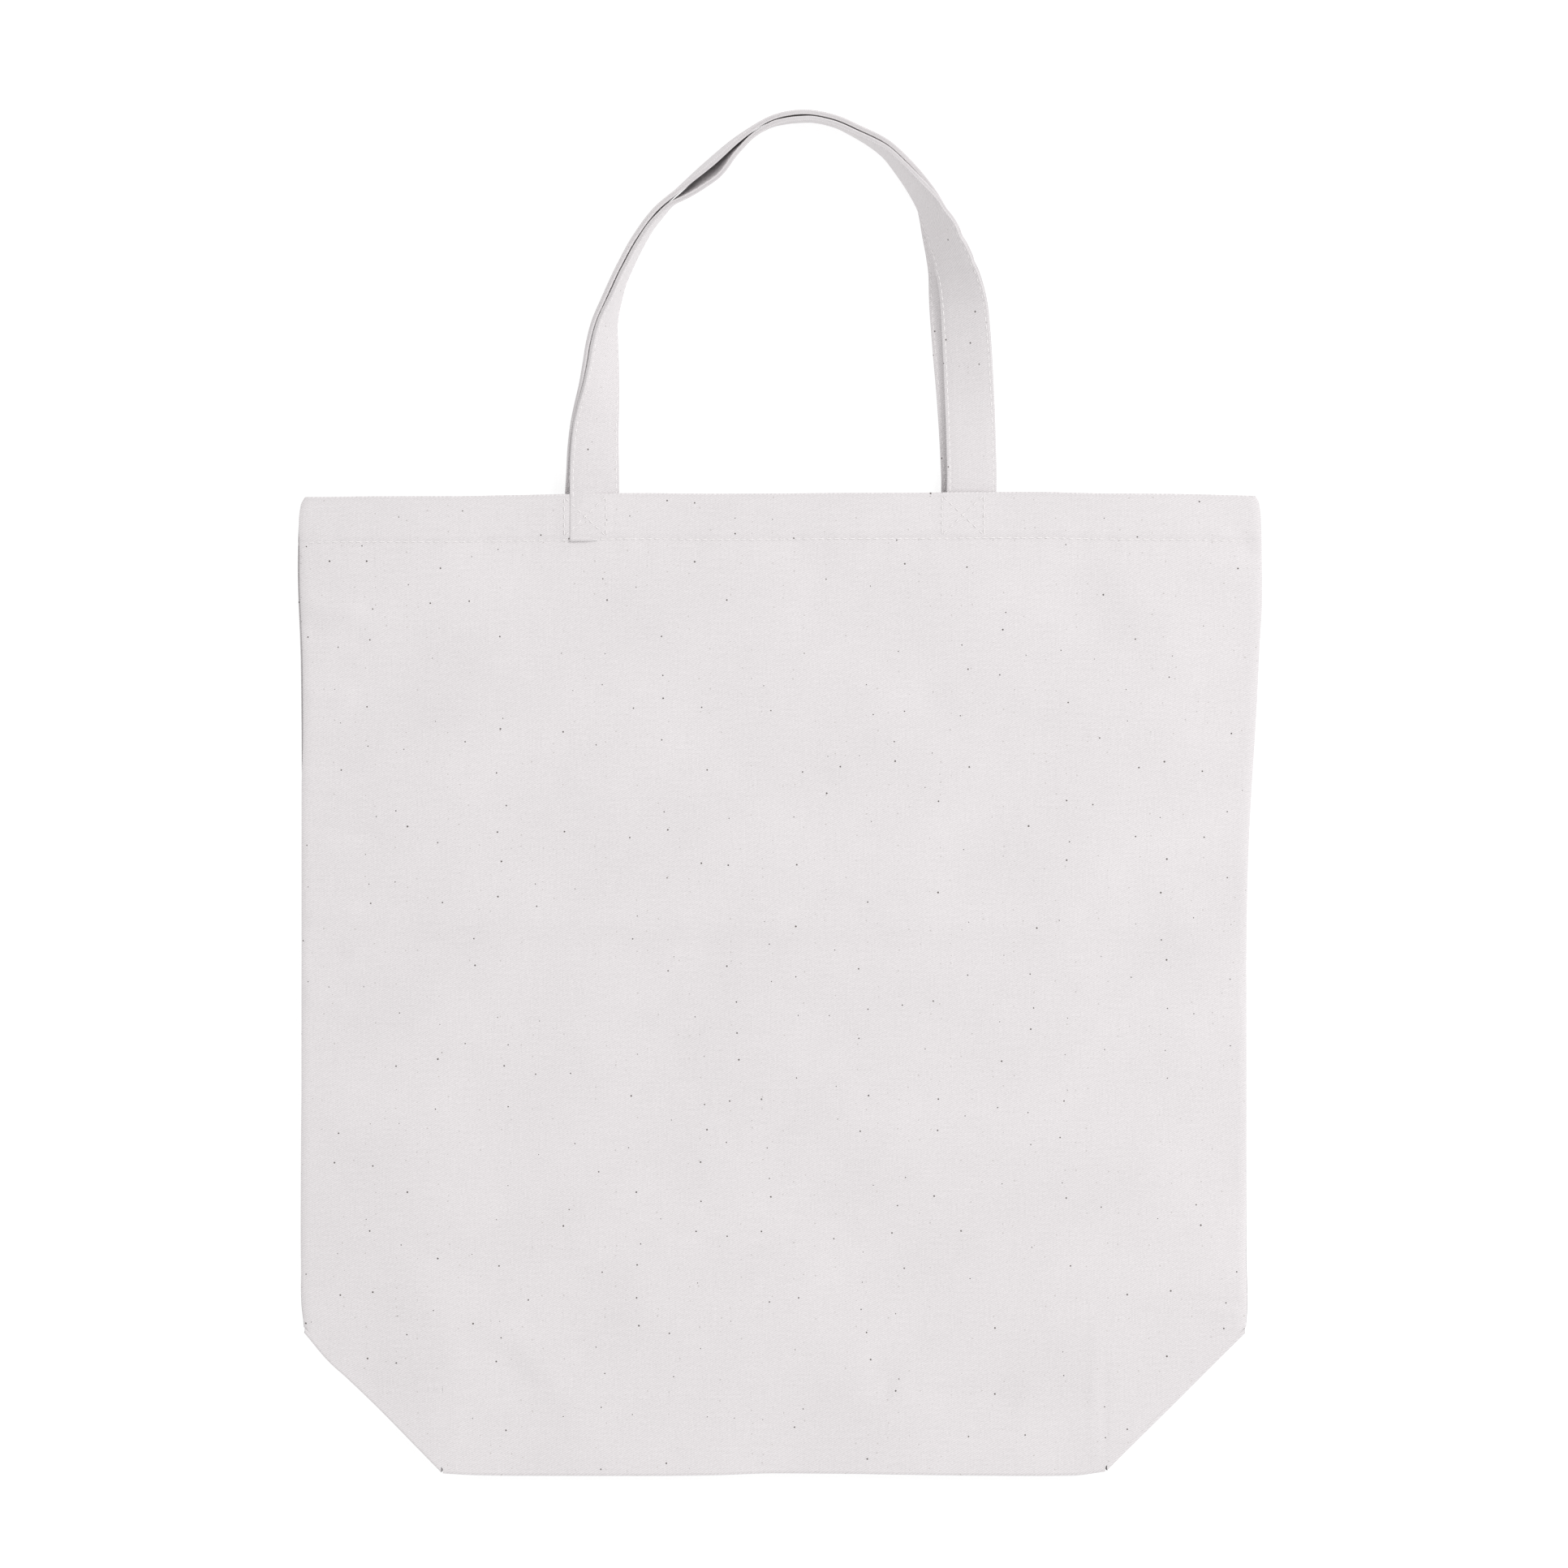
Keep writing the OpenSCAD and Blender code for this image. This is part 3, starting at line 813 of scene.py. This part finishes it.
def handle_path(front):
    """Distance along one handle, and the middle points, directions, face normals and directions
    across the strap there."""
    ends = END_LEN / MM
    left = [(ARCH[0][0], -ends * share) + ARCH[0][2:] for share in (1, 0.5)]
    right = [(ARCH[-1][0], -ends * share) + ARCH[-1][2:] for share in (0.5, 1)]
    raw = curve_through(left + ARCH + right, 8)
    x, rise, spread, slip = (raw[:, k] * MM for k in (0, 1, 3, 4))
    x = x + HANDLE_SHIFT
    twist = np.radians(np.clip(raw[:, 2], 0, 100))
    layer = 1 if front else -1
    flat_floor = 2 * CLOTH
    floor = FLOOR_GAP + (flat_floor - FLOOR_GAP) * np.abs(np.cos(twist))
    z = STRAP_W / 2 * np.sin(twist) + (spread + STRAP_T / 2) * np.abs(np.cos(twist)) + floor
    z += np.maximum(slip, 0) * np.sin(twist)
    along = unit(np.gradient(np.stack([x, rise, 0 * x], 1), axis=0))

    def turned(angle):
        return np.stack([along[:, 1] * np.sin(angle), -along[:, 0] * np.sin(angle), np.cos(angle)], 1)

    middle = np.stack([x, MOUTH_Y + rise, z], 1) + layer * turned(twist) * spread[:, None]
    lean = np.zeros_like(twist)
    if front:
        wave = soft_noise(rise + 3 * x, x, 0.028, 6) * 0.25 * MM * np.sin(twist)
        apart = OPENING * np.cos(np.clip((x - OPENING_X) / OPENING_REACH, -1, 1) * math.pi / 2) ** 2
        apart *= rise > 100 * MM
        middle += turned(twist) * (wave + apart / 2)[:, None]
        lean = apart / STRAP_W
        wrinkles = sum(h * MM * along_line(x, rise, a, b, w) for a, b, w, h in STRAP_WRINKLES)
        middle += turned(twist) * wrinkles[:, None]
    else:
        middle += np.cross(along, turned(twist)) * slip[:, None]
    face = turned(twist + lean)
    step = np.linalg.norm(np.diff(middle, axis=0), axis=1)
    run = np.concatenate([[0], np.cumsum(step)])
    even = np.linspace(0, run[-1], int(run[-1] / (1.6 * MM)))
    middle = resample(even, run, middle)
    face = unit(resample(even, run, face))
    along = unit(np.gradient(middle, axis=0))
    face = unit(face - along * np.sum(along * face, axis=1, keepdims=True))
    across = np.cross(along, face)
    return even, middle, along, face, across


STITCH_INSET = 1.6 * MM


def strap_section():
    """Outline of a folded, edge-stitched strap, as (across, height) pairs in metres."""
    half, tall = STRAP_W / 2, STRAP_T / 2
    groove = half - STITCH_INSET
    top = [(-half, 0.5 * tall), (-half + 0.15 * MM, 0.82 * tall), (-half + 0.5 * MM, tall),
           (-groove, 0.8 * tall), (-groove + 0.9 * MM, 0.97 * tall),
           (-half / 2, 1.04 * tall), (0, 1.06 * tall)]
    right = [(-a, h) for a, h in reversed(top[:-1])]
    upper = top + right
    return upper + [(-a, -h) for a, h in upper]


def handle_cloth(front):
    """A strap of folded canvas, sewn in at both ends, with its rows of edge stitching."""
    layer = LAYER_NAMES[front]
    run, middle, along, face, across = handle_path(front)
    section = strap_section()
    n = len(section)
    ring = np.array(section)
    points = middle[:, None] + across[:, None] * ring[None, :, :1] + face[:, None] * ring[None, :, 1:]
    name = f"{layer}_handle_strap"
    mesh = bpy.data.meshes.new(name)
    mesh.from_pydata(points.reshape(-1, 3).tolist(), [], tube_faces(0, len(middle), n))
    uv = mesh.uv_layers.new(name="flat")
    for loop in mesh.loops:
        r, k = divmod(loop.vertex_index, n)
        # the lower face takes its weave from another place of the cloth
        lower = k >= n // 2
        uv.data[loop.index].uv = (section[k][0] + (0.1 if lower else 0.0), run[r])
    mesh.polygons.foreach_set("use_smooth", [True] * len(mesh.polygons))
    mesh.materials.append(STRAP_CLOTH)
    mesh.update()
    strap = add_object(name, mesh)
    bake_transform(strap)
    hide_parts(f"{layer}_handle", f"{layer}_handle_end_left", f"{layer}_handle_end_right")

    marks = []
    for s in np.arange(END_LEN + 1 * MM, run[-1] - END_LEN, PITCH):
        mid, way, up, wide = (resample(s, run, v) for v in (middle, along, face, across))
        for side in (-1, 1):
            for top in (-1, 1):
                centre = mid + side * wide * (STRAP_W / 2 - STITCH_INSET) + top * up * STRAP_T * 0.36
                marks.append((centre, way, top * up))
    row = thread_piece(f"{layer}_handle_stitches", marks)
    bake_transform(row)


# ---- Seam allowances ----


def seam_allowance(left):
    """The allowance of a side seam, inside the rear half side wall."""
    side = "left" if left else "right"
    low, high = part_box(f"side_seam_{side}")
    sign = -1 if left else 1
    y = steps(low[1], high[1], 4 * MM)
    out = np.linspace(HALF_SIDE - 0.6 * MM, HALF_SIDE - 9 * MM, 6)
    grid_u, grid_y = np.meshgrid(out, y)
    x = sign * (CORNER_X + grid_u * math.cos(TILT))
    wave = 0.25 * MM * soft_noise(grid_u * 3, grid_y, 0.02, 8) * np.linspace(0, 1, 6)[None, :]
    depth = 2.4 * TURN + 0.25 * MM + side_depth(x, grid_y) + wave
    mid = np.stack([x, grid_y, depth - relief(x, grid_y, False)], 2)
    out_n = np.zeros_like(mid)
    out_n[..., 2] = -1
    uv = np.stack([x + 0.3, grid_y], 2)
    obj = sheet_between(f"side_seam_{side}_cloth", mid, out_n, uv, False, CANVAS_BACK, half=0.45 * MM)
    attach(obj, f"side_back_{side}")
    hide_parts(f"side_seam_{side}")


# ---- Build ----

for is_front in (False, True):
    panel_cloth(is_front)
    for is_left in (True, False):
        side_cloth(is_front, is_left)
        corner_cloth(is_front, is_left)
    hem_threads(is_front)
    handle_end_threads(is_front)
    handle_cloth(is_front)
for is_left in (True, False):
    seam_allowance(is_left)

# ---- Stage, light and camera ----

WHITE = (1.0, 1.0, 1.0, 1.0)


def stage_floor():
    """A plain floor just under the bag. Most of its white is its own glow, so the bag casts only
    a faint shadow on it."""
    bpy.ops.mesh.primitive_plane_add(size=30, location=(0, 0, -0.4 * MM))
    floor = bpy.context.object
    floor.name = "floor"
    m, shader = material("floor", 0.9, 0.0)
    shader.inputs["Base Color"].default_value = (0.35, 0.35, 0.35, 1.0)
    shader.inputs["Emission Color"].default_value = WHITE
    shader.inputs["Emission Strength"].default_value = 0.74
    floor.data.materials.append(m)


def lights():
    """An even white surround, and one large lamp from the upper right."""
    world = bpy.data.worlds.new("studio")
    world.use_nodes = True
    background = world.node_tree.nodes["Background"]
    background.inputs["Color"].default_value = WHITE
    background.inputs["Strength"].default_value = 0.875
    bpy.context.scene.world = world
    lamp = bpy.data.lights.new("key", "AREA")
    lamp.shape = "DISK"
    lamp.size = 1.8
    lamp.energy = 72
    key = add_object("key", lamp)
    key.location = (2.6, 1.2, 3.2)
    key.rotation_euler = key.location.to_track_quat("Z", "Y").to_euler()


def camera():
    """A long lens straight above the bag."""
    frame_width = 0.7886
    distance = 4.0
    data = bpy.data.cameras.new("camera")
    data.sensor_width = 36
    data.lens = 36 * distance / frame_width
    cam = add_object("camera", data)
    cam.location = (5.0 * MM, MOUTH_Y - 144.9 * MM, THICK + distance)
    data.clip_end = 100
    bpy.context.scene.camera = cam


stage_floor()
lights()
camera()
bpy.context.scene.view_settings.view_transform = "Standard"
